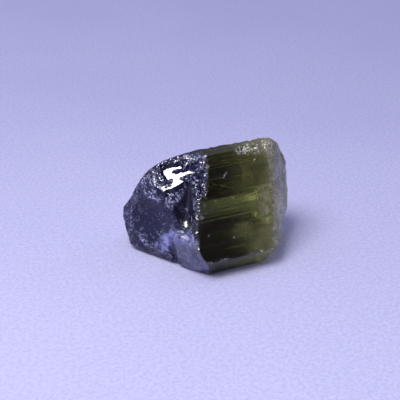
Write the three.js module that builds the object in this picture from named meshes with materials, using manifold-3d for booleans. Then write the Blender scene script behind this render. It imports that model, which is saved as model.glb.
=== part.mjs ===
// A short piece of a tourmaline crystal, lying on one prism side.
//
// The prism is trigonal: three wide striated sides 120 degrees apart, with a narrow flat cut across
// each corner. One end is a low growth termination. The other end was broken off and is bounded by
// shell-shaped fracture hollows. It is one natural piece, so it is one mesh.
//
// Millimetres, +Z up. The prism's long axis runs along X, the broken end points to -X, and the
// origin is the middle of the underside of the bounding box.

import * as THREE from "three";
import { mergeVertices } from "three/addons/utils/BufferGeometryUtils.js";
import Module from "manifold-3d";

const wasm = await Module();
wasm.setup();

// ---- Driving dimensions ----

const SIDE = 12.14; // edge of the sharp triangle that the prism's section is cut from
const TOP_FLAT = 1.35; // width of the flat across each corner of the section
const FRONT_FLAT = 1.93;
const BACK_FLAT = 1.7;
const BLANK_FROM = -9; // the uncut prism runs this far each way
const BLANK_TO = 10;

// Growth bands along the prism. Each band leans out a little and ends in a small step back, as
// [place across the side from 0 to 1, height of the step there].
const STEP_WIDTH = 0.012;
const FRONT_STEPS = [
  [0.06, 0.03],
  [0.17, 0.04],
  [0.357, 0.05],
  [0.51, 0.11],
  [0.6, 0.03],
  [0.72, 0.06],
  [0.85, 0.04],
];
const BACK_STEPS = [
  [0.12, 0.05],
  [0.27, 0.1],
  [0.4, 0.04],
  [0.58, 0.08],
  [0.7, 0.05],
  [0.88, 0.06],
];

// The termination's faces: outward normal, and distance from the middle of the underside's axis.
const TERMINATION = [
  { normal: [0.736, -0.647, 0.202], reach: 6.87 }, // wide face above the front side
  { normal: [0.86, 0.12, 0.49], reach: 10.3 }, // upper bevel
  { normal: [0.99, 0.0, -0.143], reach: 7.1 }, // blunt tip
  { normal: [0.769, -0.458, -0.447], reach: 4.97 }, // lower front bevel
  { normal: [0.75, 0.6, 0.28], reach: 8.4 }, // face above the back side
  { normal: [0.8, 0.35, -0.49], reach: 5.63 }, // lower back bevel
];

// The broken end's flat fractures, in the same form. The foot is a lobe of its own at the bottom
// front, so the end has a notch between the two.
const END_FRACTURES = [
  { normal: [-0.187, 0.0, 0.982], reach: 9.27 }, // worn shoulder on the top edge
  { normal: [-0.463, -0.698, 0.546], reach: 5.66 }, // upper front slope
  { normal: [-0.6, 0.3, 0.74], reach: 9.12 }, // knee between the shoulder and the end
  { normal: [-0.918, 0.145, 0.366], reach: 7.25 }, // upper end slope
  { normal: [-0.847, -0.532, 0.0], reach: 3.865 }, // end face
  { normal: [-0.92, 0.32, -0.15], reach: 6.36 }, // lower back of the end
  { normal: [-0.72, 0.3, -0.6], reach: 4.95 }, // under edge of the end
];
const FOOT_FRACTURES = [
  { normal: [-0.872, -0.44, -0.218], reach: 3.73 }, // fan-shaped face at the front
  { normal: [-0.5, -0.6, -0.62], reach: 3.09 }, // leans under beside the floor
  { normal: [-0.937, -0.243, -0.249], reach: 3.46 }, // side of the notch
  { normal: [-0.6, 0.8, 0.1], reach: 1.0 }, // back of the lobe
  { normal: [-0.3, -0.287, 0.91], reach: 4.95 }, // upper face
  { normal: [-0.463, -0.698, 0.546], reach: 5.9 }, // outer front slope
];

// Shell-shaped hollows: the point at the middle of the hollow's mouth, the way it opens, its depth
// below that point and the radius of the ball that fits it.
const HOLLOWS = [
  { at: [-4.8, 0.38, 3.6], opens: [-0.847, -0.532, 0.0], depth: 0.5, ball: 5.2 }, // end face
  { at: [-2.6, -1.62, 6.2], opens: [-0.463, -0.698, 0.546], depth: 0.3, ball: 1.3 }, // front, upper
  { at: [-2.95, -2.2, 5.05], opens: [-0.463, -0.698, 0.546], depth: 0.45, ball: 1.5 }, // front, lower
  { at: [-3.4, -1.75, 0.75], opens: [-0.85, -0.5, -0.1], depth: 0.4, ball: 0.6 }, // beside the foot
  { at: [4.5, -0.8, 9.2], opens: [0.1, -0.5, 0.86], depth: 0.18, ball: 3.6 }, // chip on the top edge
  { at: [5.3, -3.9, 3.5], opens: [0.5, -0.8, 0.3], depth: 0.1, ball: 2.2 }, // chip by the termination
];

// ---- Shapes ----

const vector = (v) => new THREE.Vector3(...v);

// A closed mesh as a solid.
function solid(geometry, matrix = new THREE.Matrix4()) {
  const bare = new THREE.BufferGeometry();
  bare.setAttribute("position", geometry.getAttribute("position").clone());
  if (geometry.index) bare.setIndex(geometry.index.clone());
  const merged = mergeVertices(bare.applyMatrix4(matrix), 1e-4);
  return new wasm.Manifold(
    new wasm.Mesh({
      numProp: 3,
      vertProperties: merged.attributes.position.array,
      triVerts: new Uint32Array(merged.index.array),
    }),
  );
}

// One side of the section, from corner to corner, with its steps standing out.
function sidePoints(from, to, outward, steps) {
  const along = to.clone().sub(from);
  const points = [from.clone()];
  for (const [place, height] of steps) {
    const foot = from.clone().addScaledVector(along, place + STEP_WIDTH);
    points.push(from.clone().addScaledVector(along, place).addScaledVector(outward, height));
    points.push(foot);
  }
  points.push(to.clone());
  return points;
}

// The stepped section, with its shape's x and y along the part's Y and Z.
function sectionShape() {
  const rise = Math.sqrt(3) / 2;
  const half = SIDE / 2;
  const frontCorner = new THREE.Vector2(-half, 0);
  const backCorner = new THREE.Vector2(half, 0);
  const topCorner = new THREE.Vector2(0, SIDE * rise);
  const step = (from, to, distance) =>
    from.clone().addScaledVector(to.clone().sub(from).normalize(), distance);
  const under = sidePoints(
    step(frontCorner, backCorner, FRONT_FLAT),
    step(backCorner, frontCorner, BACK_FLAT),
    new THREE.Vector2(0, -1),
    [],
  );
  const back = sidePoints(
    step(backCorner, topCorner, BACK_FLAT),
    step(topCorner, backCorner, TOP_FLAT),
    new THREE.Vector2(rise, 0.5),
    BACK_STEPS,
  );
  const front = sidePoints(
    step(topCorner, frontCorner, TOP_FLAT),
    step(frontCorner, topCorner, FRONT_FLAT),
    new THREE.Vector2(-rise, 0.5),
    FRONT_STEPS,
  );
  return new THREE.Shape([...under, ...back, ...front]);
}

function prismBlank() {
  const depth = BLANK_TO - BLANK_FROM;
  const geometry = new THREE.ExtrudeGeometry(sectionShape(), { depth, bevelEnabled: false });
  const alongX = new THREE.Matrix4().makeBasis(
    vector([0, 1, 0]),
    vector([0, 0, 1]),
    vector([1, 0, 0]),
  );
  alongX.setPosition(BLANK_FROM, 0, 0);
  return solid(geometry, alongX);
}

// A block that takes away everything beyond a plane.
function beyondPlane({ normal, reach }) {
  const size = 60;
  const out = vector(normal).normalize();
  const turn = new THREE.Quaternion().setFromUnitVectors(vector([0, 0, 1]), out);
  const centre = out.clone().multiplyScalar(reach / vector(normal).length() + size / 2);
  const matrix = new THREE.Matrix4().compose(centre, turn, vector([1, 1, 1]));
  return solid(new THREE.BoxGeometry(size, size, size), matrix);
}

// A ball that takes away a shell-shaped hollow.
function hollowBall({ at, opens, depth, ball }) {
  const centre = vector(at).addScaledVector(vector(opens).normalize(), ball - depth);
  const fine = Math.min(40, Math.round(6 * Math.sqrt(ball)));
  const matrix = new THREE.Matrix4().setPosition(centre);
  return solid(new THREE.IcosahedronGeometry(ball, fine), matrix);
}

function meshGeometry(body) {
  const { vertProperties, triVerts } = body.getMesh();
  const geometry = new THREE.BufferGeometry();
  geometry.setAttribute("position", new THREE.BufferAttribute(vertProperties, 3));
  geometry.setIndex(new THREE.BufferAttribute(triVerts, 1));
  geometry.computeVertexNormals();
  return geometry;
}

// ---- The crystal ----

const cutBy = (body, faces) => faces.reduce((left, face) => left.subtract(beyondPlane(face)), body);

function crystalBody() {
  const grown = cutBy(prismBlank(), TERMINATION);
  const foot = cutBy(grown, FOOT_FRACTURES);
  const end = cutBy(grown, END_FRACTURES);
  return HOLLOWS.reduce((left, hollow) => left.subtract(hollowBall(hollow)), end).add(foot);
}

// The origin goes to the middle of the underside.
const geometry = meshGeometry(crystalBody());
geometry.computeBoundingBox();
const middle = geometry.boundingBox.getCenter(new THREE.Vector3());
geometry.translate(-middle.x, -middle.y, -geometry.boundingBox.min.z);

const crystal = new THREE.Mesh(
  geometry,
  new THREE.MeshStandardMaterial({
    color: 0x4c4f2c,
    roughness: 0.25,
    metalness: 0,
    flatShading: true,
  }),
);
crystal.name = "tourmaline_crystal";

const part = new THREE.Group();
part.add(crystal);

export default part;
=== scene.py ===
# Tourmaline crystal lying on a pale sheet: its fine surface, what is sealed in it, and soft light.
# Blender works in metres. The shaping is in millimetres, from the foot of the prism's middle line.
import math
import bpy
import numpy as np
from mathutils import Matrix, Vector


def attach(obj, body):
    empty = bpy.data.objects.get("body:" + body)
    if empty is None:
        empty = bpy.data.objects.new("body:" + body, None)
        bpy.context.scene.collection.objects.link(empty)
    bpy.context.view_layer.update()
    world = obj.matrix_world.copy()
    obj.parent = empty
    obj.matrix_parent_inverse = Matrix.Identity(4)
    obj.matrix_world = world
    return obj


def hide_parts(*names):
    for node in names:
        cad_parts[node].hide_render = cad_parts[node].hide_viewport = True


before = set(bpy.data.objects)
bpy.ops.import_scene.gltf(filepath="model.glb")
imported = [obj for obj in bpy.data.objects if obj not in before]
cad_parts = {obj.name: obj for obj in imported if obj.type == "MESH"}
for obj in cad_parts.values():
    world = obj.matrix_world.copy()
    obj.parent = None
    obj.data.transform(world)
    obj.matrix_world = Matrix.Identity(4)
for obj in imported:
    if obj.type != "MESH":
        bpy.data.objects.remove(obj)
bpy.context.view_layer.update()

crystal = {
    "node": "tourmaline_crystal",
    "slot": "tourmaline",
    "foot": (0.8816, 0.0575, 0.0),   # where the frame's origin lies, from the foot of the middle line
    "side": 12.14,                   # edge of the sharp triangle that the section is cut from
    "frontAcross": 8.86,             # widths that the fine lines are counted over
    "backAcross": 9.1,
    "topFlat": 1.35,
    "frontFlat": 1.93,
    "backFlat": 1.7,
    "voxel": 0.079,                  # spacing of the fine surface's points
    "settlePasses": 8,               # times the points are drawn onto the shape
    "slopePasses": (0, 1, 2, 4, 6),  # passes that measure the way in afresh
    "slopeStep": 0.012,
    "seed": 11,
}


def cellHash(i, j, k, seed):
    # one steady pseudo-random number from 0 to 1 for each whole-number cell
    n = (i * 73856093) ^ (j * 19349663) ^ (k * 83492791) ^ (seed * 2654435)
    n = (n ^ (n >> 13)) * 1274126177
    n = n ^ (n >> 16)
    return (n & 0xFFFFFF) / float(0xFFFFFF)


def softNoise(p, seed):
    # smooth value noise from -1 to 1
    base = np.floor(p).astype(np.int64)
    f = p - base
    f = f * f * f * (f * (f * 6 - 15) + 10)
    total = np.zeros(len(p))
    for dx in (0, 1):
        wx = f[:, 0] if dx else 1 - f[:, 0]
        for dy in (0, 1):
            wy = f[:, 1] if dy else 1 - f[:, 1]
            for dz in (0, 1):
                wz = f[:, 2] if dz else 1 - f[:, 2]
                total += wx * wy * wz * cellHash(base[:, 0] + dx, base[:, 1] + dy, base[:, 2] + dz, seed)
    return total * 2 - 1


def layeredNoise(p, size, layers, seed):
    total = np.zeros(len(p))
    strength, whole = 1.0, 0.0
    for layer in range(layers):
        total += strength * softNoise(p / size * 2 ** layer + 17.3 * layer, seed + layer)
        whole += strength
        strength *= 0.5
    return total / whole


def flakeNoise(p, size, seed, tilt=0.5):
    # small flat flakes at random tilts, each a plane through its own cell; the lowest plane shows
    q = p / size
    base = np.floor(q).astype(np.int64)
    best = np.full(len(p), 9.0)
    height = np.zeros(len(p))
    for dx in (-1, 0, 1):
        for dy in (-1, 0, 1):
            for dz in (-1, 0, 1):
                i, j, k = base[:, 0] + dx, base[:, 1] + dy, base[:, 2] + dz
                spot = np.stack([i + cellHash(i, j, k, seed), j + cellHash(i, j, k, seed + 1),
                                 k + cellHash(i, j, k, seed + 2)], 1)
                away = q - spot
                far = (away ** 2).sum(1)
                lean = np.stack([cellHash(i, j, k, seed + 3), cellHash(i, j, k, seed + 4),
                                 cellHash(i, j, k, seed + 5)], 1) * 2 - 1
                h = (away * lean).sum(1) * tilt + (cellHash(i, j, k, seed + 6) - 0.5) * 0.5
                nearer = far < best
                best = np.where(nearer, far, best)
                height = np.where(nearer, h, height)
    return height


def smoothStep(low, high, v):
    t = np.clip((v - low) / (high - low), 0, 1)
    return t * t * (3 - 2 * t)


growthSteps = {
    # place across the side from 0 to 1, and the height of the step there
    "front": [(0.06, 0.03), (0.17, 0.04), (0.357, 0.05), (0.51, 0.11),
              (0.6, 0.03), (0.72, 0.06), (0.85, 0.04)],
    "back": [(0.12, 0.05), (0.27, 0.1), (0.4, 0.04), (0.58, 0.08), (0.7, 0.05), (0.88, 0.06)],
    "share": 0.45,          # how much of each height stands out
    "stepWidth": 0.012,
    "fineHeight": 0.016,    # the fine lines between the steps
    "fineSpacing": 0.33,
}

# outward normal, distance
terminationFaces = [
    ((0.736, -0.647, 0.202), 6.87),
    ((0.86, 0.12, 0.49), 10.3),
    ((0.99, 0.0, -0.143), 7.1),
    ((0.769, -0.458, -0.447), 4.97),
    ((0.75, 0.6, 0.28), 8.4),
    ((0.8, 0.35, -0.49), 5.63),
]

breakFaces = {
    # outward normal, distance, how rough the break is there
    "end": [
        ((-0.187, 0.0, 0.982), 9.27, 0.5),
        ((-0.463, -0.698, 0.546), 5.66, 1.0),
        ((-0.6, 0.3, 0.74), 9.12, 0.7),
        ((-0.918, 0.145, 0.366), 7.25, 0.8),
        ((-0.847, -0.532, 0.0), 3.865, 0.45),
        ((-0.92, 0.32, -0.15), 6.36, 0.8),
        ((-0.72, 0.3, -0.6), 4.95, 0.7),
        ((-0.36, -0.23, -0.9), 1.43, 0.1),    # narrow gap over the sheet
    ],
    "lobe": [
        ((-0.872, -0.44, -0.218), 3.73, 0.25),
        ((-0.5, -0.6, -0.62), 3.09, 0.3),
        ((-0.937, -0.243, -0.249), 3.46, 0.3),
        ((-0.6, 0.8, 0.1), 1.0, 0.3),
        ((-0.3, -0.287, 0.91), 4.95, 0.4),
        ((-0.463, -0.698, 0.546), 5.9, 0.3),
    ],
}

# crease between the end and the lobe
notch = {"from": (-3.5, -1.75, 0.1), "to": (-3.55, -1.65, 1.55), "round": 0.42}
shell = {"at": (-4.8, 0.38, 3.6), "opens": (-0.847, -0.532, 0.0), "depth": 0.5, "ball": 5.2}

pit = {
    # rim of the dark faceted pit in the front slope, in order, and its deepest point
    "rim": [(-1.86, -1.13, 7.24), (-3.5, -1.15, 5.82), (-3.74, -1.91, 4.64), (-3.5, -2.79, 3.72),
            (-2.6, -3.23, 3.92), (-2.17, -2.64, 5.04), (-1.98, -2.23, 5.73)],
    "deepest": (-2.55, -1.95, 4.05),
}

cleanFlakes = {
    # clean flakes in the front slope, which all lean up towards the light
    "slope": (-0.463, -0.698, 0.546),
    "reach": 5.66,
    "lean": (-0.43, -0.50, 0.753),
    "middle": (-2.8, -0.2, 7.6),
    "through": (-2.8, -0.3, 7.5),
    # the line along each flake's middle, half its width
    "flakes": [
        ([(-3.34, 0.46, 8.13), (-2.78, 0.24, 8.35), (-2.3, -0.03, 8.43)], 0.23),
        ([(-3.42, 0.44, 8.02), (-2.88, -0.12, 7.78)], 0.35),
        ([(-2.88, -0.14, 7.75), (-2.18, -0.43, 7.97), (-1.49, -0.72, 8.19)], 0.2),
        ([(-2.88, -0.14, 7.75), (-2.83, -0.44, 7.40), (-2.99, -0.61, 7.05)], 0.21),
        ([(-2.53, -0.81, 7.18), (-3.09, -0.61, 6.97), (-3.72, -0.39, 6.72), (-4.26, -0.16, 6.54)], 0.28),
    ],
}

bulges = [
    {"along": [(-1.2, -2.9, 5.5), (-2.3, -3.8, 3.6)], "wide": 1.5, "out": 0.34},
    {"along": [(-4.9, 2.1, 7.1), (-5.5, 2.4, 5.9)], "wide": 1.3, "out": 0.3},
]
roundness = {"end": 0.45, "lobe": 0.5, "join": 0.25, "tip": 0.6}   # mm over which edges are worn

relief = {
    # mm that the rough break and the termination stand out, by size of feature
    "breakSwell": 0.17,
    "breakLumps": 0.09,
    "breakFlakes": 0.2,
    "breakSmallFlakes": 0.09,
    "terraces": 4.5,         # how many levels the termination's terraces have
    "terraceHeight": 0.034,
    "tipLumps": 0.03,
    "tipFlakes": 0.01,
}

# lines brushed on the surface: their points, how wide, how strong
frostLines = [
    # left of the clean flakes
    ([(-4.85, 1.3, 7.0), (-4.75, 0.4, 7.1), (-5.0, 0.5, 6.3), (-4.4, 0.0, 6.2)], 0.85, 1.0),
    # above and right of the pit
    ([(-2.6, -0.96, 6.94), (-3.67, -1.11, 5.82)], 0.62, 1.0),
    ([(-1.55, -2.3, 6.0), (-1.7, -2.75, 5.3)], 0.55, 0.5),
    # top edge, by the tip and by the break
    ([(3.2, -0.65, 9.4), (5.9, -0.7, 9.25)], 0.95, 1.0),
    ([(-0.6, -0.7, 9.3), (-1.6, 0.2, 9.3)], 0.5, 0.7),
    # break meets the front side
    ([(-0.4, -1.1, 8.8), (-1.4, -3.0, 5.3), (-2.7, -4.2, 3.2)], 0.3, 0.25),
    # far rim and low corner of the end
    ([(-5.75, 1.9, 5.6), (-6.0, 2.5, 4.4), (-5.8, 2.3, 2.6)], 0.34, 0.6),
    ([(-5.4, 1.4, 1.6), (-4.9, 0.6, 0.9)], 0.45, 0.8),
    # front side meets the tip
    ([(6.0, -0.85, 8.9), (5.55, -2.1, 6.8)], 0.5, 0.75),
    ([(5.5, -2.3, 6.5), (5.2, -3.3, 4.9)], 0.36, 0.5),
    ([(4.95, -4.2, 3.3), (4.6, -4.85, 2.1)], 0.6, 0.8),
]
milkLines = [
    ([(5.9, -0.8, 9.1), (5.5, -2.2, 6.6), (4.95, -4.2, 3.2), (4.5, -4.95, 1.9)], 1.0, 1.0),
    ([(4.6, -2.9, 5.4), (4.4, -3.5, 4.4)], 1.3, 0.8),
]
# scratches, most of them in the pit; the last five are tiny pale specks on the green side, painted glints
scratchAndGlintLines = [
    ([(0.9, -1.75, 7.5), (1.25, -1.55, 7.85)], 0.1, 1.0),
    ([(-3.05, -3.2, 4.0), (-2.1, -4.0, 3.3)], 0.17, 1.0),
    ([(-2.75, -3.75, 3.35), (-2.3, -3.35, 4.15)], 0.16, 0.9),
    ([(-2.02, -2.35, 5.5), (-1.95, -2.0, 6.2)], 0.1, 0.8),
    ([(-2.3, -2.6, 4.6), (-3.1, -2.3, 4.3)], 0.09, 0.9),
    ([(-2.2, -2.2, 5.3), (-2.9, -1.8, 5.1)], 0.08, 0.7),
    ([(-2.6, -2.9, 4.3), (-2.2, -2.3, 4.9)], 0.08, 0.7),
    ([(-0.2, -2.6, 6.0), (-0.17, -2.58, 6.04)], 0.13, 0.9),
    ([(1.4, -2.62, 5.97), (1.44, -2.6, 6.02)], 0.12, 0.8),
    ([(4.0, -1.25, 8.35), (4.1, -1.2, 8.42)], 0.12, 0.9),
    ([(-1.4, -3.96, 3.65), (-1.35, -3.93, 3.7)], 0.12, 0.8),
    ([(0.7, -4.25, 3.1), (0.85, -4.2, 3.2)], 0.11, 0.7),
]
# a frosted bloom on the low part of the break, painted lavender-blue: a painted reflection of the pale room
bloomSheenLines = [
    ([(-4.3, -0.4, 1.4), (-4.07, -0.78, 2.1), (-3.6, -1.6, 2.85)], 0.85, 1.0),
    ([(-3.6, -1.6, 2.85), (-3.3, -2.5, 3.3), (-2.9, -3.4, 3.4)], 0.75, 0.65),
]


def unit(v):
    v = np.array(v, float)
    return v / np.linalg.norm(v)


def wornMax(a, b, wear):
    # the larger of the two, with the edge between them worn round
    near = np.maximum(wear - np.abs(a - b), 0) / wear
    return np.maximum(a, b) + near * near * wear / 4


def brushed(p, line, wide):
    # 1 on a line drawn through the points, falling to 0 at its width
    nearest = np.full(len(p), 99.0)
    for a, b in zip(line, line[1:]):
        a, b = np.array(a), np.array(b)
        t = np.clip((p - a) @ (b - a) / max((b - a) @ (b - a), 1e-9), 0, 1)
        nearest = np.minimum(nearest, np.linalg.norm(p - a - t[:, None] * (b - a), axis=1))
    return 1 - smoothStep(wide * 0.35, wide, nearest)


def brushedAll(p, lines):
    return np.max([strong * brushed(p, line, wide) for line, wide, strong in lines], 0)


def flakeFaces(p, wobble):
    # 1 inside the clean flakes and 0 away from them, and how high their plane stands off the slope
    out, lean = unit(cleanFlakes["slope"]), unit(cleanFlakes["lean"])
    upSlope = unit(lean - (lean @ out) * out)
    steepness = math.tan(math.acos(lean @ out))
    flat = p - (p @ out - cleanFlakes["reach"])[:, None] * out
    nearest = np.full(len(p), 99.0)
    for line, wide in cleanFlakes["flakes"]:
        for a, b in zip(line, line[1:]):
            a, b = np.array(a), np.array(b)
            t = np.clip((flat - a) @ (b - a) / ((b - a) @ (b - a)), 0, 1)
            nearest = np.minimum(nearest, np.linalg.norm(flat - a - t[:, None] * (b - a), axis=1) / wide)
    height = steepness * ((flat - np.array(cleanFlakes["through"])) @ upSlope)
    return 1 - smoothStep(0.95, 1.3, nearest + wobble), height


def sideProfile(place, x, steps, seed):
    # a saw-tooth of growth steps that stand out of the side, some fading out along the prism
    height = np.zeros(len(place))
    foot = 0.0
    width = growthSteps["stepWidth"]
    for n, (at, rise) in enumerate(steps):
        t = (place - foot) / (at - foot)
        fall = np.clip(1 - (place - at) / width, 0, 1)
        tooth = np.where((t >= 0) & (t <= 1), t, 0) + np.where(t > 1, fall, 0)
        fade = 0.75 + 0.25 * softNoise(np.stack([x / 5, place * 0 + n, place * 0], 1), seed + n)
        height += growthSteps["share"] * rise * tooth * fade
        foot = at + width
    return height


def fineLines(across, x, seed):
    # fine growth lines, straight and parallel, coming and going along the prism
    flat = np.zeros(len(x))
    h = flat.copy()
    for n, (spacing, part) in enumerate(((0.62, 1.0), (0.33, 0.6), (0.19, 0.35))):
        t = across / spacing + 0.9 * softNoise(np.stack([across * 0.7, flat, flat + n], 1), seed + n)
        saw = np.abs((t % 1) - 0.5) * 2
        fade = 0.5 + 0.5 * softNoise(np.stack([x / 4.0, across / spacing * 0.6, flat + n], 1), seed + 7 + n)
        h += part * saw * fade
    return h * growthSteps["fineHeight"]


chips = []


def scatterChips(start, end, out, count, small, large, seed, wander):
    # shell-shaped bites along an edge; out points away from the crystal, so that a bite stays shallow
    rng = np.random.default_rng(seed)
    a, b, out = np.array(start, float), np.array(end, float), unit(out)
    for _ in range(count):
        r = small + (large - small) * rng.random() ** 2
        away = rng.normal(0, wander, 3)
        chips.append((a + (b - a) * rng.random() + away + out * r * 0.62, r))


def crystalShape(p, parts=False):
    # below zero inside the crystal; with parts, also which kind of surface shows at each point
    seed = crystal["seed"]
    x, y, z = p[:, 0], p[:, 1], p[:, 2]
    half = crystal["side"] / 2
    rise = math.sqrt(3) / 2
    top = crystal["side"] * rise
    run = crystal["side"] - crystal["topFlat"]
    # place across each leaning side, from its top corner down
    frontDown = -y * 0.5 - (z - top) * rise - crystal["topFlat"]
    backDown = y * 0.5 - (z - top) * rise - crystal["topFlat"]
    frontPlace = frontDown / (run - crystal["frontFlat"])
    backPlace = 1 - backDown / (run - crystal["backFlat"])
    front = -rise * y + 0.5 * z - rise * half
    back = rise * y + 0.5 * z - rise * half
    front = front - sideProfile(frontPlace, x, growthSteps["front"], seed)
    front = front - fineLines(frontPlace * crystal["frontAcross"], x, seed + 20)
    back = back - sideProfile(backPlace, x, growthSteps["back"], seed + 3)
    back = back - fineLines(backPlace * crystal["backAcross"], x, seed + 40)
    sides = [front, back, -z,
             z - (top - crystal["topFlat"] * rise) - 0.5 * fineLines(y, x, seed + 60),
             -rise * y - 0.5 * z - rise * (half - crystal["frontFlat"]) - fineLines(z + y, x, seed + 70),
             rise * y - 0.5 * z - rise * (half - crystal["backFlat"]) - fineLines(z - y, x, seed + 80)]
    grown = sides[0]
    for s in sides[1:]:
        grown = np.maximum(grown, s)
    tip = np.full(len(p), -99.0)
    for normal, reach in terminationFaces:
        tip = np.maximum(tip, p @ unit(normal) - reach / np.linalg.norm(normal))
    near = tip > -0.6
    hills = relief["terraces"] * layeredNoise(p[near], 2.4, 3, seed + 90)
    steps = np.floor(hills) + smoothStep(0.78, 1.0, hills - np.floor(hills))
    tip[near] += (relief["terraceHeight"] * steps
                  + relief["tipLumps"] * layeredNoise(p[near], 0.9, 3, seed + 92)
                  + relief["tipFlakes"] * flakeNoise(p[near], 0.5, seed + 94))

    roughWhole, coarse, mid = np.zeros(len(p)), np.zeros(len(p)), np.zeros(len(p))
    near = x < 0.9
    q = p[near]
    coarse[near] = layeredNoise(q, 2.1, 3, seed + 100)
    mid[near] = layeredNoise(q, 0.7, 3, seed + 110)
    roughWhole[near] = (relief["breakSwell"] * coarse[near] + relief["breakLumps"] * mid[near]
                        + relief["breakFlakes"] * flakeNoise(q, 0.55, seed + 120)
                        + relief["breakSmallFlakes"] * flakeNoise(q, 0.24, seed + 130))
    near = np.linalg.norm(p - np.array(cleanFlakes["middle"]), axis=1) < 2.4
    ragged = 0.7 * mid[near] + 1.0 * layeredNoise(p[near], 0.3, 3, seed + 140)
    clean, stand = flakeFaces(p[near], ragged)
    roughWhole[near] = roughWhole[near] * (1 - clean) + stand * clean
    polish = np.zeros(len(p))
    polish[near] = clean

    def broken(faces, wear):
        hull = np.full(len(p), -99.0)
        for normal, reach, rough in faces:
            face = p @ unit(normal) - reach / np.linalg.norm(normal) + rough * roughWhole
            hull = wornMax(hull, face, wear)
        return hull

    end = broken(breakFaces["end"], roundness["end"])
    for bulge in bulges:
        end = end - bulge["out"] * brushed(p, bulge["along"], bulge["wide"])
    opens = unit(shell["opens"])
    ballMiddle = np.array(shell["at"]) + opens * (shell["ball"] - shell["depth"])
    shellHollow = shell["ball"] - np.linalg.norm(p - ballMiddle, axis=1) + 0.03 * coarse + 0.012 * mid
    deep = np.array(pit["deepest"])
    rim = [np.array(r) for r in pit["rim"]]
    centre = sum(rim) / len(rim)
    inPit = np.full(len(p), -99.0)
    for a, b in zip(rim, rim[1:] + rim[:1]):
        n = unit(np.cross(b - a, deep - a))
        n = -n if n @ (centre - a) > 0 else n
        inPit = np.maximum(inPit, p @ n - a @ n)
    pitHollow = -inPit + 0.03 * mid
    lobe = broken(breakFaces["lobe"], roundness["lobe"])
    joined = -wornMax(-np.maximum(end, shellHollow), -lobe, roundness["join"])
    low, high = np.array(notch["from"]), np.array(notch["to"])
    t = np.clip((p - low) @ (high - low) / ((high - low) @ (high - low)), 0, 1)
    fromNotch = np.linalg.norm(p - low - t[:, None] * (high - low), axis=1)
    crease = notch["round"] * (1 - 0.5 * t) - fromNotch + 0.05 * mid
    joined = np.maximum(joined, crease)
    loose = np.maximum(joined, pitHollow)
    total = np.maximum(wornMax(grown, tip, roundness["tip"]), loose)
    if not parts:
        return total
    kind = np.zeros(len(p), int)                                      # 0 grown sides
    kind[(tip > grown) & (tip > loose)] = 1                           # 1 termination
    onBreak = (loose >= grown) & (loose >= tip)
    kind[onBreak] = 2                                                 # 2 rough break
    kind[onBreak & (end < lobe) & (shellHollow > end)] = 3            # 3 smooth shell
    kind[onBreak & (lobe <= np.maximum(end, shellHollow))] = 5        # 5 fine-grained lobe
    kind[onBreak & (pitHollow > joined)] = 4                          # 4 glossy pit
    return total, kind, polish


chipRuns = [
    # start and end of the edge, way out of the crystal, how many, smallest, largest, seed, wander
    # top, above the front side
    ((3.0, -0.68, 9.3), (6.0, -0.66, 9.3), (0, -0.5, 0.87), 22, 0.2, 0.6, 5, 0.1),
    ((3.2, -0.3, 9.34), (6.2, 0.3, 9.34), (0, 0, 1), 16, 0.15, 0.5, 15, 0.2),
    # front side meets the tip
    ((6.1, -0.6, 9.3), (5.55, -2.2, 6.7), (0.6, -0.75, 0.3), 14, 0.12, 0.45, 6, 0.08),
    ((5.6, -2.2, 6.7), (5.0, -4.3, 3.1), (0.6, -0.75, 0.3), 26, 0.18, 0.8, 16, 0.1),
    ((5.0, -4.3, 3.1), (4.6, -4.95, 1.9), (0.6, -0.8, -0.2), 9, 0.2, 0.6, 7, 0.1),
    # low front edge
    ((4.6, -4.95, 1.75), (-2.0, -5.05, 1.75), (0, -0.95, -0.3), 30, 0.06, 0.22, 8, 0.05),
    # top, above the back side
    ((-0.1, 0.68, 9.3), (6.3, 0.68, 9.3), (0, 0.5, 0.87), 26, 0.08, 0.3, 9, 0.05),
    # far edge of the tip
    ((6.6, 0.5, 9.2), (8.0, -0.1, 6.0), (1, 0, 0.3), 7, 0.1, 0.3, 10, 0.06),
    ((8.0, -0.1, 6.0), (7.6, -0.2, 3.4), (1, -0.2, 0), 6, 0.1, 0.3, 17, 0.06),
    # front side meets the break
    ((-0.1, -0.7, 9.3), (-1.3, -3.0, 5.2), (-0.3, -0.9, 0.5), 8, 0.08, 0.3, 12, 0.1),
    ((-1.3, -3.0, 5.2), (-2.8, -4.3, 3.0), (-0.3, -0.9, 0.5), 4, 0.06, 0.24, 13, 0.1),
]
for chipRun in chipRuns:
    scatterChips(*chipRun)


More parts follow.
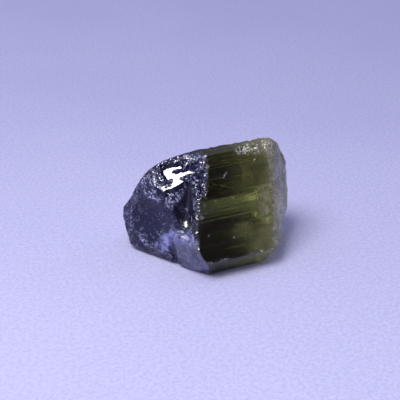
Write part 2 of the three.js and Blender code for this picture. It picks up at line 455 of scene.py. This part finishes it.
def buildCrystal():
    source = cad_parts[crystal["node"]]
    mesh = source.data.copy()
    fine = bpy.data.objects.new("crystal_surface", mesh)
    bpy.context.scene.collection.objects.link(fine)
    remesh = fine.modifiers.new("even points", "REMESH")
    remesh.mode = "VOXEL"
    remesh.voxel_size = crystal["voxel"] / 1000 * 1
    remesh.use_smooth_shade = True
    ready = bpy.data.meshes.new_from_object(fine.evaluated_get(bpy.context.evaluated_depsgraph_get()))
    fine.modifiers.clear()
    fine.data = ready
    bpy.data.meshes.remove(mesh)
    co = np.empty(len(ready.vertices) * 3, np.float32)
    ready.vertices.foreach_get("co", co)
    p = co.reshape(-1, 3).astype(float) * 1000 + np.array(crystal["foot"])
    h = crystal["slopeStep"]
    for turn in range(crystal["settlePasses"]):
        f = crystalShape(p)
        if turn in crystal["slopePasses"]:
            slope = np.stack([(crystalShape(p + h * np.eye(3)[axis]) - f) / h for axis in range(3)], 1)
        steep = np.maximum((slope ** 2).sum(1), 0.25)
        move = -(f / steep)[:, None] * slope
        length = np.linalg.norm(move, axis=1)
        move *= np.minimum(1, 0.12 / np.maximum(length, 1e-9))[:, None]
        p = p + move * 0.9
    total, kind, polish = crystalShape(p, parts=True)
    # chips: points inside a ball sink straight in until they lie on its far wall
    inward = -slope / np.linalg.norm(slope, axis=1)[:, None]
    for at, r in chips:
        inside = np.linalg.norm(p - at, axis=1) < r
        q, d = p[inside] - at, inward[inside]
        b = (q * d).sum(1)
        p[inside] += d * (-b + np.sqrt(b * b - (q * q).sum(1) + r * r))[:, None]
        kind[inside] = 6
    p[:, 2] = np.maximum(p[:, 2], 0.0)
    ready.vertices.foreach_set("co", ((p - np.array(crystal["foot"])) / 1000).astype(np.float32).ravel())
    ready.update()
    # what the material reads at each point: kinds of surface, then brushed places
    kinds = {"tip": (1,), "rough": (2,), "shell": (3,), "pit": (4,), "lobe": (5,), "chip": (6,),
             "broken": (2, 3, 4, 5)}
    for name, numbers in kinds.items():
        here = np.isin(kind, numbers).astype(np.float32)
        paintPoints(ready, name, softened(ready, here, 8 if name == "tip" else 2))
    paintPoints(ready, "bloomSheen", brushedAll(p, bloomSheenLines))
    paintPoints(ready, "frosty", brushedAll(p, frostLines))
    paintPoints(ready, "milky", brushedAll(p, milkLines))
    paintPoints(ready, "scratchAndGlint", brushedAll(p, scratchAndGlintLines))
    paintPoints(ready, "polish", softened(ready, polish, 1))
    furthest = round(float(np.abs(total).max()), 3)
    print("crystal surface:", len(ready.vertices), "points, furthest off", furthest, "mm")
    return fine


def paintPoints(mesh, name, value):
    layer = mesh.attributes.new(name, "FLOAT", "POINT")
    layer.data.foreach_set("value", value.astype(np.float32))


def softened(mesh, value, passes):
    # a point value averaged over its neighbours
    edges = np.empty(len(mesh.edges) * 2, np.int32)
    mesh.edges.foreach_get("vertices", edges)
    a, b = edges.reshape(-1, 2).T
    count = np.bincount(a, minlength=len(value)) + np.bincount(b, minlength=len(value)) + 1.0
    for _ in range(passes):
        total = value + np.bincount(a, value[b], len(value)) + np.bincount(b, value[a], len(value))
        value = total / count
    return value.astype(np.float32)


def newMaterial(name):
    material = bpy.data.materials.new(name)
    material.use_nodes = True
    tree = material.node_tree
    tree.nodes.clear()
    return material, tree


def addNode(tree, kind, **settings):
    node = tree.nodes.new(kind)
    for key, value in settings.items():
        if key.startswith("in_"):
            node.inputs[key[3:].replace("_", " ")].default_value = value
        else:
            setattr(node, key, value)
    return node


def sumUp(tree, a, b, operation="ADD", clamp=False):
    node = tree.nodes.new("ShaderNodeMath")
    node.operation = operation
    node.use_clamp = clamp
    for socket, v in zip(node.inputs, (a, b)):
        if isinstance(v, (int, float)):
            socket.default_value = v
        else:
            tree.links.new(v, socket)
    return node.outputs[0]


def blendColour(tree, share, a, b, mode="MIX"):
    node = tree.nodes.new("ShaderNodeMix")
    node.data_type = "RGBA"
    node.blend_type = mode
    for socket, v in ((node.inputs[0], share), (node.inputs[6], a), (node.inputs[7], b)):
        if isinstance(v, (int, float)):
            socket.default_value = v
        elif isinstance(v, tuple):
            socket.default_value = (*v, 1) if len(v) == 3 else v
        else:
            tree.links.new(v, socket)
    return node.outputs[2]


def mapRange(tree, value, low, high, to0=0.0, to1=1.0):
    node = tree.nodes.new("ShaderNodeMapRange")
    node.interpolation_type = "SMOOTHSTEP"
    tree.links.new(value, node.inputs["Value"])
    node.inputs["From Min"].default_value = low
    node.inputs["From Max"].default_value = high
    node.inputs["To Min"].default_value = to0
    node.inputs["To Max"].default_value = to1
    return node.outputs["Result"]


def noiseAt(tree, vector, scale, detail=4, rough=0.55, stretch=None):
    if stretch:
        squeeze = tree.nodes.new("ShaderNodeVectorMath")
        squeeze.operation = "MULTIPLY"
        squeeze.inputs[1].default_value = stretch
        tree.links.new(vector, squeeze.inputs[0])
        vector = squeeze.outputs[0]
    node = tree.nodes.new("ShaderNodeTexNoise")
    node.inputs["Scale"].default_value = scale
    node.inputs["Detail"].default_value = detail
    node.inputs["Roughness"].default_value = rough
    tree.links.new(vector, node.inputs["Vector"])
    return node.outputs["Fac"]


def pointValue(tree, name):
    node = tree.nodes.new("ShaderNodeAttribute")
    node.attribute_type = "GEOMETRY"
    node.attribute_name = name
    return node.outputs["Fac"]


tourmaline = {
    "dark": (0.17, 0.16, 0.115),
    "green": (0.58, 0.59, 0.24),
    "light": (0.80, 0.80, 0.42),
    "darkEndAt": -0.0030,            # along the prism, in metres
    "lightEndAt": 0.0042,
    "bandTint": (0.46, 0.40, 0.24),  # darker bands, streaks and blotches along the prism
    "streakTint": (0.38, 0.34, 0.18),
    "blotchTint": (0.80, 0.58, 0.46),
    "breakTone": (0.002, 0.002, 0.04),
    "pitTone": (0.013, 0.011, 0.026),
    # frost tone is lavender: a painted reflection of the pale room on real frost
    "frostSheenTone": (0.60, 0.61, 0.84),
    "chipTone": (0.78, 0.72, 0.60),
    # the bloom's lavender-blue is a painted reflection of the pale room
    "bloomSheenTone": (0.44, 0.46, 0.86),
    "milkTone": (0.74, 0.68, 0.46),
    "tipTone": (0.66, 0.61, 0.40),
    "haze": (0.04, 0.27),            # light that the body's own veils scatter back, dark end and light end
    "mostClear": 0.97,
    "flakeScale": 8200,              # flat flakes on the break, per metre
    "flakeTilt": 0.48,
    "density": 230.0,
    "absorbs": (0.47, 0.53, 0.12),
    "ior": 1.62,
    "specular": 0.30,
}


def vectorMix(tree, operation, a, b, out=0):
    node = tree.nodes.new("ShaderNodeVectorMath")
    node.operation = operation
    for socket, v in zip(node.inputs, (a, b)):
        if isinstance(v, tuple):
            socket.default_value = v
        else:
            tree.links.new(v, socket)
    return node.outputs[out]


def flatFlakes(tree, where, scale, tilt):
    # flat flakes, each leaning its own way: the height of a tilted plane in each cell, and its own shade
    cells = addNode(tree, "ShaderNodeTexVoronoi", in_Scale=scale)
    tree.links.new(where, cells.inputs["Vector"])
    away = vectorMix(tree, "SUBTRACT", where, cells.outputs["Position"])
    lean = vectorMix(tree, "SUBTRACT", cells.outputs["Color"], (0.5, 0.5, 0.5))
    height = sumUp(tree, vectorMix(tree, "DOT_PRODUCT", away, lean, 1), 2 * tilt, "MULTIPLY")
    shades = addNode(tree, "ShaderNodeSeparateColor")
    tree.links.new(cells.outputs["Color"], shades.inputs[0])
    return height, shades.outputs[0]


def bumpOn(tree, height, strength, distance, under=None):
    node = addNode(tree, "ShaderNodeBump", in_Distance=distance)
    tree.links.new(height, node.inputs["Height"])
    if isinstance(strength, (int, float)):
        node.inputs["Strength"].default_value = strength
    else:
        tree.links.new(strength, node.inputs["Strength"])
    if under:
        tree.links.new(under, node.inputs["Normal"])
    return node.outputs[0]


def tourmalineFinish():
    material, tree = newMaterial("striated tourmaline")
    out = addNode(tree, "ShaderNodeOutputMaterial")
    shader = addNode(tree, "ShaderNodeBsdfPrincipled")
    tree.links.new(shader.outputs[0], out.inputs["Surface"])
    shader.inputs["IOR"].default_value = tourmaline["ior"]
    shader.inputs["Specular IOR Level"].default_value = tourmaline["specular"]
    absorb = addNode(tree, "ShaderNodeVolumeAbsorption")
    absorb.inputs["Color"].default_value = (*tourmaline["absorbs"], 1)
    absorb.inputs["Density"].default_value = tourmaline["density"]
    tree.links.new(absorb.outputs[0], out.inputs["Volume"])
    where = addNode(tree, "ShaderNodeTexCoord").outputs["Object"]
    split = addNode(tree, "ShaderNodeSeparateXYZ")
    tree.links.new(where, split.inputs[0])

    def times(a, b):
        return sumUp(tree, a, b, "MULTIPLY")

    def larger(a, b):
        return sumUp(tree, a, b, "MAXIMUM")

    def without(a):
        return sumUp(tree, 1.0, a, "SUBTRACT")

    broken, rough, pitArea = pointValue(tree, "broken"), pointValue(tree, "rough"), pointValue(tree, "pit")
    shellArea, lobe = pointValue(tree, "shell"), pointValue(tree, "lobe")
    chip, tip, polish = pointValue(tree, "chip"), pointValue(tree, "tip"), pointValue(tree, "polish")
    bloomSheen, frosty = pointValue(tree, "bloomSheen"), pointValue(tree, "frosty")
    milky, scratchAndGlint = pointValue(tree, "milky"), pointValue(tree, "scratchAndGlint")
    bands = noiseAt(tree, where, 520, 3, 0.55, (0.06, 1, 1))
    streaks = noiseAt(tree, where, 1700, 5, 0.65, (0.035, 1, 1))
    cloud = noiseAt(tree, where, 420, 4, 0.6)
    pores = noiseAt(tree, where, 6500, 3, 0.6)
    patches = noiseAt(tree, where, 1500, 4, 0.65)
    flakes, flakeShade = flatFlakes(tree, where, tourmaline["flakeScale"], tourmaline["flakeTilt"])
    blotches = noiseAt(tree, where, 900, 4, 0.6, (0.4, 1, 1))
    grown = without(broken)
    # green deepens towards the broken end
    x = sumUp(tree, split.outputs["X"], times(sumUp(tree, cloud, 0.5, "SUBTRACT"), 0.006))
    x = sumUp(tree, x, times(sumUp(tree, bands, 0.5, "SUBTRACT"), 0.008))
    body = blendColour(tree, mapRange(tree, x, tourmaline["darkEndAt"], tourmaline["lightEndAt"]),
                       tourmaline["dark"], tourmaline["green"])
    body = blendColour(tree, mapRange(tree, x, 0.002, 0.0065), body, tourmaline["light"])
    for share, tint in ((mapRange(tree, bands, 0.46, 0.64, 0, 0.45), "bandTint"),
                        (mapRange(tree, streaks, 0.46, 0.66, 0, 0.35), "streakTint"),
                        (mapRange(tree, blotches, 0.5, 0.68, 0, 0.5), "blotchTint")):
        body = blendColour(tree, share, body, tourmaline[tint], "MULTIPLY")
    body = blendColour(tree, tip, body, tourmaline["tipTone"])
    body = blendColour(tree, broken, body, tourmaline["breakTone"])
    body = blendColour(tree, pitArea, body, tourmaline["pitTone"])
    # milky zone behind the termination
    milk = times(mapRange(tree, x, 0.0036, 0.0068), mapRange(tree, blotches, 0.36, 0.66, 0.1, 0.75))
    milk = larger(milk, times(milky, mapRange(tree, patches, 0.32, 0.62, 0.3, 1.0)))
    milk = times(milk, grown)
    body = blendColour(tree, milk, body, tourmaline["milkTone"])
    # frost on chips, on the lobe and in places on the rough break
    frost = times(rough, mapRange(tree, patches, 0.47, 0.62, 0.04, 0.55))
    frost = larger(frost, times(frosty, mapRange(tree, patches, 0.34, 0.52, 0.25, 1.0)))
    frost = larger(frost, times(shellArea, mapRange(tree, patches, 0.50, 0.64, 0.0, 0.4)))
    frost = larger(frost, times(pitArea, mapRange(tree, patches, 0.54, 0.64, 0.0, 0.35)))
    frost = times(frost, mapRange(tree, flakeShade, 0.45, 0.95, 0.05, 1.0))
    lobeFrost = times(mapRange(tree, pores, 0.35, 0.65, 0.55, 1.0),
                      mapRange(tree, patches, 0.35, 0.65, 0.12, 0.42))
    frost = larger(frost, times(lobe, lobeFrost))
    frost = times(frost, without(polish))
    # pale frost on the scratches, and on the tiny specks that are painted glints
    frost = larger(frost, times(scratchAndGlint, mapRange(tree, pores, 0.4, 0.6, 0.2, 1.0)))
    chipFrost = times(chip, mapRange(tree, flakeShade, 0.25, 0.95, 0.2, 0.9))
    # frost is warm like the chips near the tip and lavender on the break, the lavender a painted reflection
    # of the pale room
    frostSheenColour = blendColour(tree, mapRange(tree, x, 0.0005, 0.0025),
                              tourmaline["frostSheenTone"], tourmaline["chipTone"])
    body = blendColour(tree, frost, body, frostSheenColour)
    body = blendColour(tree, chipFrost, body, tourmaline["chipTone"])
    frost = larger(frost, chipFrost)
    # frosted bloom on the low break, its lavender-blue a painted reflection of the pale room
    bloomSheenShare = times(bloomSheen, mapRange(tree, patches, 0.36, 0.62, 0.18, 1.0))
    bloomSheenShare = times(times(bloomSheenShare, mapRange(tree, pores, 0.36, 0.62, 0.45, 1.0)), broken)
    body = blendColour(tree, bloomSheenShare, body, tourmaline["bloomSheenTone"])
    tree.links.new(body, shader.inputs["Base Color"])
    # how clear: nearly all of it on the grown sides, less where the surface is frosted or milky
    hazeLow, hazeHigh = tourmaline["haze"]
    haze = mapRange(tree, x, -0.0008, 0.0042, hazeLow, hazeHigh)
    # painted shade: less haze high on the front side by the dark end, leaving the lower front lighter
    paintedShadeHigh = times(mapRange(tree, split.outputs["Z"], 0.0042, 0.0062), mapRange(tree, x, 0.0055, 0.002))
    haze = times(haze, mapRange(tree, paintedShadeHigh, 0.0, 1.0, 1.0, 0.45))
    cover = larger(times(frost, 0.75), times(bloomSheenShare, 0.8))
    cover = larger(cover, times(milk, 0.40))
    cover = larger(cover, haze)
    cover = larger(cover, times(tip, mapRange(tree, blotches, 0.3, 0.7, 0.2, 0.44)))
    cover = larger(cover, times(broken, 0.8))
    clear = sumUp(tree, tourmaline["mostClear"], cover, "SUBTRACT", True)
    tree.links.new(clear, shader.inputs["Transmission Weight"])
    gloss = mapRange(tree, streaks, 0.3, 0.7, 0.04, 0.14)
    gloss = sumUp(tree, gloss, times(frost, 0.25))
    gloss = sumUp(tree, gloss, times(bloomSheenShare, 0.4))
    gloss = sumUp(tree, gloss, times(shellArea, 0.14))
    gloss = sumUp(tree, gloss, times(larger(lobe, pitArea), 0.12))
    gloss = sumUp(tree, gloss, times(tip, 0.14), "ADD", True)
    tree.links.new(gloss, shader.inputs["Roughness"])
    # fine growth lines on the sides, tiny flat flakes on the break, grain on the frosted places
    lineRelief = bumpOn(tree, times(streaks, grown), 0.25, 0.00004)
    sparkling = times(larger(rough, frosty), mapRange(tree, cloud, 0.42, 0.56, 0.45, 1.0))
    sparkling = larger(sparkling, times(chip, 0.8))
    speckled = times(larger(shellArea, times(pitArea, 0.3)), mapRange(tree, patches, 0.42, 0.58, 0.03, 0.7))
    sparkling = larger(sparkling, speckled)
    sparkling = times(larger(sparkling, larger(times(lobe, 0.15), times(tip, 0.04))), without(polish))
    flakeRelief = bumpOn(tree, flakes, sparkling, 1.0, lineRelief)
    grain = times(larger(larger(frost, times(shellArea, 0.15)), times(pitArea, 0.1)), without(polish))
    grainRelief = bumpOn(tree, pores, times(grain, 0.5), 0.00004, flakeRelief)
    tree.links.new(grainRelief, shader.inputs["Normal"])
    return material


sealedIn = {
    # veils of tiny healed droplets: middle, the way the veil faces, how far it spreads, droplets
    "veils": [
        ((3.35, -0.9, 6.9), (1.0, 0.1, 0.05), 1.7, 420),
        ((4.5, -2.3, 4.6), (0.5, -0.8, 0.4), 1.5, 420),
        ((2.6, -2.2, 3.2), (0.2, -0.7, 0.7), 1.6, 260),
        ((5.2, -1.6, 6.6), (0.8, -0.5, 0.3), 1.2, 300),
        ((1.0, 0.4, 5.6), (0.3, 0.2, 0.9), 2.0, 300),
    ],
    "droplet": (0.015, 0.075),       # smallest and largest half-width
    "tubes": 90,                     # hollow growth tubes along the prism
    "tubeRound": (0.006, 0.014),
    "tubeLong": (0.5, 3.2),
    # flat healed cracks near the front side, each by its corners as seen from outside
    "cracks": [
        [(1.5, -2.45, 5.34), (3.6, -2.50, 5.32), (3.64, -2.16, 5.78),
         (2.9, -2.18, 5.74), (1.9, -2.32, 5.52)],
        [(3.66, -2.6, 5.2), (3.74, -2.6, 5.2), (3.72, -2.15, 5.9), (3.69, -2.15, 5.9)],
    ],
    "crackThick": 0.03,
    "clearOf": 0.15,                 # how far everything stays under the surface
    "seed": 5,
    "tone": (0.74, 0.74, 0.46),
    "crackTone": (0.92, 0.92, 0.66),
}


def insideOnly(p, deep):
    return crystalShape(p) < -deep


def meshPiece(name, points, faces):
    mesh = bpy.data.meshes.new(name)
    mesh.from_pydata([tuple((np.array(q) - np.array(crystal["foot"])) / 1000) for q in points], [], faces)
    mesh.update()
    piece = bpy.data.objects.new(name, mesh)
    bpy.context.scene.collection.objects.link(piece)
    return piece


def sealedDroplets():
    rng = np.random.default_rng(sealedIn["seed"])
    corners = np.array([(1, 0, 0), (0, 1, 0), (-1, 0, 0), (0, -1, 0), (0, 0, 1), (0, 0, -1)], float)
    sides = [(0, 1, 4), (1, 2, 4), (2, 3, 4), (3, 0, 4), (1, 0, 5), (2, 1, 5), (3, 2, 5), (0, 3, 5)]
    points, faces = [], []
    small, large = sealedIn["droplet"]
    for middle, facing, reach, count in sealedIn["veils"]:
        out = unit(facing)
        across = unit(np.cross(out, (0.3, 0.2, 1)))
        up = np.cross(out, across)
        u, v = rng.normal(0, reach * 0.45, (2, count))
        wave = 0.12 * np.sin(u * 2.3) + 0.1 * np.cos(v * 3.1) + rng.normal(0, 0.02, count)
        spots = np.array(middle) + u[:, None] * across + v[:, None] * up + wave[:, None] * out
        sizes = small + (large - small) * rng.random(count) ** 3
        turns = rng.random(count) * math.tau
        for spot, size, turn, keep in zip(spots, sizes, turns, insideOnly(spots, sealedIn["clearOf"])):
            if keep:
                a = math.cos(turn) * across + math.sin(turn) * up
                b = np.cross(out, a)
                start = len(points)
                points += [spot + size * (c[0] * a * 1.5 + c[1] * b + c[2] * out * 0.35) for c in corners]
                faces += [tuple(start + n for n in side) for side in sides]
    return meshPiece("healed_veils", points, faces)


def sealedTubes():
    rng = np.random.default_rng(sealedIn["seed"] + 1)
    points, faces = [], []
    count = sealedIn["tubes"]
    spots = rng.uniform((-2.5, -4.6, 0.6), (6.0, 3.6, 8.8), (count * 4, 3))
    longs = rng.uniform(*sealedIn["tubeLong"], count * 4) / 2
    rounds = rng.uniform(*sealedIn["tubeRound"], count * 4)
    reach = np.stack([longs, longs * 0, longs * 0], 1)
    deep = sealedIn["clearOf"]
    fits = insideOnly(spots - reach, deep) & insideOnly(spots + reach, deep)
    for spot, long, r in list(zip(spots[fits], longs[fits], rounds[fits]))[:count]:
        start = len(points)
        points.append(spot - (long, 0, 0))
        for end in (-1, 1):
            for n in range(5):
                turn = math.tau * n / 5
                points.append(spot + (end * (long - 2 * r), r * math.cos(turn), r * math.sin(turn)))
        points.append(spot + (long, 0, 0))
        for n in range(5):
            m = (n + 1) % 5
            faces += [(start, start + 1 + m, start + 1 + n),
                      (start + 1 + n, start + 1 + m, start + 6 + m, start + 6 + n),
                      (start + 11, start + 6 + n, start + 6 + m)]
    return meshPiece("growth_tubes", points, faces)


def sealedCracks():
    rng = np.random.default_rng(sealedIn["seed"] + 2)
    points, faces = [], []
    for outline in sealedIn["cracks"]:
        outline = [np.array(q) for q in outline]
        n = unit(np.cross(outline[1] - outline[0], outline[-1] - outline[0]))
        edge = []
        for a, b in zip(outline, outline[1:] + outline[:1]):
            edge += [a + (b - a) * k / 7 + rng.normal(0, 0.03, 3) for k in range(7)]
        middle = sum(edge) / len(edge)
        count, start = len(edge), len(points)
        points += [middle + n * sealedIn["crackThick"], middle - n * sealedIn["crackThick"]]
        points += [q + n * 0.002 for q in edge] + [q - n * 0.002 for q in edge]
        for k in range(count):
            front, nextFront = start + 2 + k, start + 2 + (k + 1) % count
            faces += [(start, front, nextFront), (start + 1, nextFront + count, front + count),
                      (front, front + count, nextFront + count, nextFront)]
    return meshPiece("healed_cracks", points, faces)


def sealedFinish(name, tone, rough):
    material, tree = newMaterial(name)
    out = addNode(tree, "ShaderNodeOutputMaterial")
    shader = addNode(tree, "ShaderNodeBsdfPrincipled")
    tree.links.new(shader.outputs[0], out.inputs["Surface"])
    where = addNode(tree, "ShaderNodeTexCoord").outputs["Object"]
    mottle = noiseAt(tree, where, 4200, 4, 0.65, (0.3, 1, 1))
    dull = tuple(c * 0.45 for c in tone)
    mottled = blendColour(tree, mapRange(tree, mottle, 0.35, 0.62), dull, tone)
    tree.links.new(mottled, shader.inputs["Base Color"])
    tree.links.new(mapRange(tree, mottle, 0.3, 0.7, rough, rough + 0.25), shader.inputs["Roughness"])
    tree.links.new(bumpOn(tree, mottle, 0.4, 0.00003), shader.inputs["Normal"])
    return material


def sealInside():
    veilFinish = sealedFinish("healed veil", sealedIn["tone"], 0.35)
    crackFinish = sealedFinish("healed crack", sealedIn["crackTone"], 0.2)
    for piece, finish in ((sealedDroplets(), veilFinish), (sealedTubes(), veilFinish),
                          (sealedCracks(), crackFinish)):
        piece.data.materials.append(finish)
        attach(piece, "root")
        print("sealed in:", piece.name, len(piece.data.polygons), "faces")


surface = buildCrystal()
surface.data.materials.clear()
surface.data.materials.append(tourmalineFinish())
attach(surface, "root")
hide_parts(crystal["node"])
sealInside()


studio = {
    "litSheetNear": (0.76, 0.745, 0.97),   # painted light: the paper is painted paler towards the front and darker towards the back, where the light falls off
    "shadedSheetFar": (0.58, 0.57, 0.79),
    "sheetSize": 1.6,
    "keyFrom": (-0.42, -0.1, 0.9),
    "keyAway": 0.20,
    "keySize": 0.12,
    "keyPower": 0.255,
    "glintAway": 0.195,
    "glintSize": 0.06,         # bright middle of the key, which only shows in reflections
    "glintPower": 0.50,
    "sky": (0.55, 0.57, 0.92),
    "darkFront": (0.02, 0.02, 0.03),
    "skyStrength": 0.90,
}

camera = {
    "round": -24.0,
    "up": 28.0,
    "lens": 85.0,
    "sensor": 36.0,
    "aimAt": (0.0, 1.0, 4.3),       # mm from the foot of the middle line
    "frameWidth": 34.8,             # mm across the view at the crystal
}


def paperFinish():
    material, tree = newMaterial("pale paper")
    out = addNode(tree, "ShaderNodeOutputMaterial")
    shader = addNode(tree, "ShaderNodeBsdfPrincipled", in_Roughness=0.9)
    shader.inputs["Specular IOR Level"].default_value = 0.15
    tree.links.new(shader.outputs[0], out.inputs["Surface"])
    where = addNode(tree, "ShaderNodeTexCoord").outputs["Object"]
    fibre = noiseAt(tree, where, 3200, 4, 0.75)
    drift = noiseAt(tree, where, 40, 3, 0.5)
    depth = vectorMix(tree, "DOT_PRODUCT", where, (0.407, 0.9135, 0.0), 1)
    # painted shade: the sheet darkens from front to back, as the light falls off
    tone = blendColour(tree, mapRange(tree, depth, -0.03, 0.045), studio["litSheetNear"], studio["shadedSheetFar"])
    tone = blendColour(tree, mapRange(tree, fibre, 0.3, 0.7, 0.2, 0.0), tone, (0.0, 0.0, 0.0))
    tone = blendColour(tree, mapRange(tree, drift, 0.4, 0.6, 0, 0.06), tone, (0.5, 0.5, 0.8), "MULTIPLY")
    tree.links.new(tone, shader.inputs["Base Color"])
    tree.links.new(bumpOn(tree, fibre, 0.25, 0.00005), shader.inputs["Normal"])
    return material


def laySheet():
    s = studio["sheetSize"] / 2
    mesh = bpy.data.meshes.new("paper_sheet")
    mesh.from_pydata([(-s, -s, 0), (s, -s, 0), (s, s, 0), (-s, s, 0)], [], [(0, 1, 2, 3)])
    sheet = bpy.data.objects.new("paper_sheet", mesh)
    bpy.context.scene.collection.objects.link(sheet)
    mesh.materials.append(paperFinish())


def hangLight(name, direction, away, size, power):
    data = bpy.data.lights.new(name, "AREA")
    data.shape = "DISK"
    data.size = size
    data.energy = power
    lamp = bpy.data.objects.new(name, data)
    bpy.context.scene.collection.objects.link(lamp)
    d = Vector(direction).normalized()
    lamp.location = d * away
    lamp.rotation_euler = d.to_track_quat("Z", "Y").to_euler()
    return lamp


def setStudio():
    laySheet()
    hangLight("soft key", studio["keyFrom"], studio["keyAway"], studio["keySize"], studio["keyPower"])
    glint = hangLight("glint", studio["keyFrom"], studio["glintAway"],
                      studio["glintSize"], studio["glintPower"])
    glint.visible_diffuse = False
    glint.visible_transmission = False
    world = bpy.data.worlds.new("pale room")
    world.use_nodes = True
    tree = world.node_tree
    back = tree.nodes["Background"]
    back.inputs["Strength"].default_value = studio["skyStrength"]
    # the room is dark on the side that the crystal is looked at from, and partly dark behind it
    look = addNode(tree, "ShaderNodeTexCoord").outputs["Generated"]
    facing = vectorMix(tree, "DOT_PRODUCT", look, tuple(Vector((0.36, -0.85, 0.38)).normalized()), 1)
    shade = mapRange(tree, facing, 0.45, 0.9)
    behind = vectorMix(tree, "DOT_PRODUCT", look, tuple(Vector((0.36, 0.81, 0.40)).normalized()), 1)
    dimBehind = mapRange(tree, behind, 0.75, 0.97, 0.0, 0.7)
    room = blendColour(tree, dimBehind, studio["sky"], studio["darkFront"])
    tree.links.new(blendColour(tree, shade, room, studio["darkFront"]), back.inputs["Color"])
    bpy.context.scene.world = world
    bpy.context.scene.view_settings.view_transform = "Standard"


def setCamera():
    a, e = math.radians(camera["round"]), math.radians(camera["up"])
    back = Vector((math.sin(a) * math.cos(e), -math.cos(a) * math.cos(e), math.sin(e)))
    data = bpy.data.cameras.new("camera")
    data.lens = camera["lens"]
    data.sensor_width = camera["sensor"]
    data.clip_start = 0.001
    data.clip_end = 10
    eye = bpy.data.objects.new("camera", data)
    bpy.context.scene.collection.objects.link(eye)
    target = (Vector(camera["aimAt"]) - Vector(crystal["foot"])) / 1000
    eye.location = target + back * camera["frameWidth"] / 1000 / camera["sensor"] * camera["lens"]
    eye.rotation_euler = back.to_track_quat("Z", "Y").to_euler()
    bpy.context.scene.camera = eye


setStudio()
setCamera()
print("studio set")
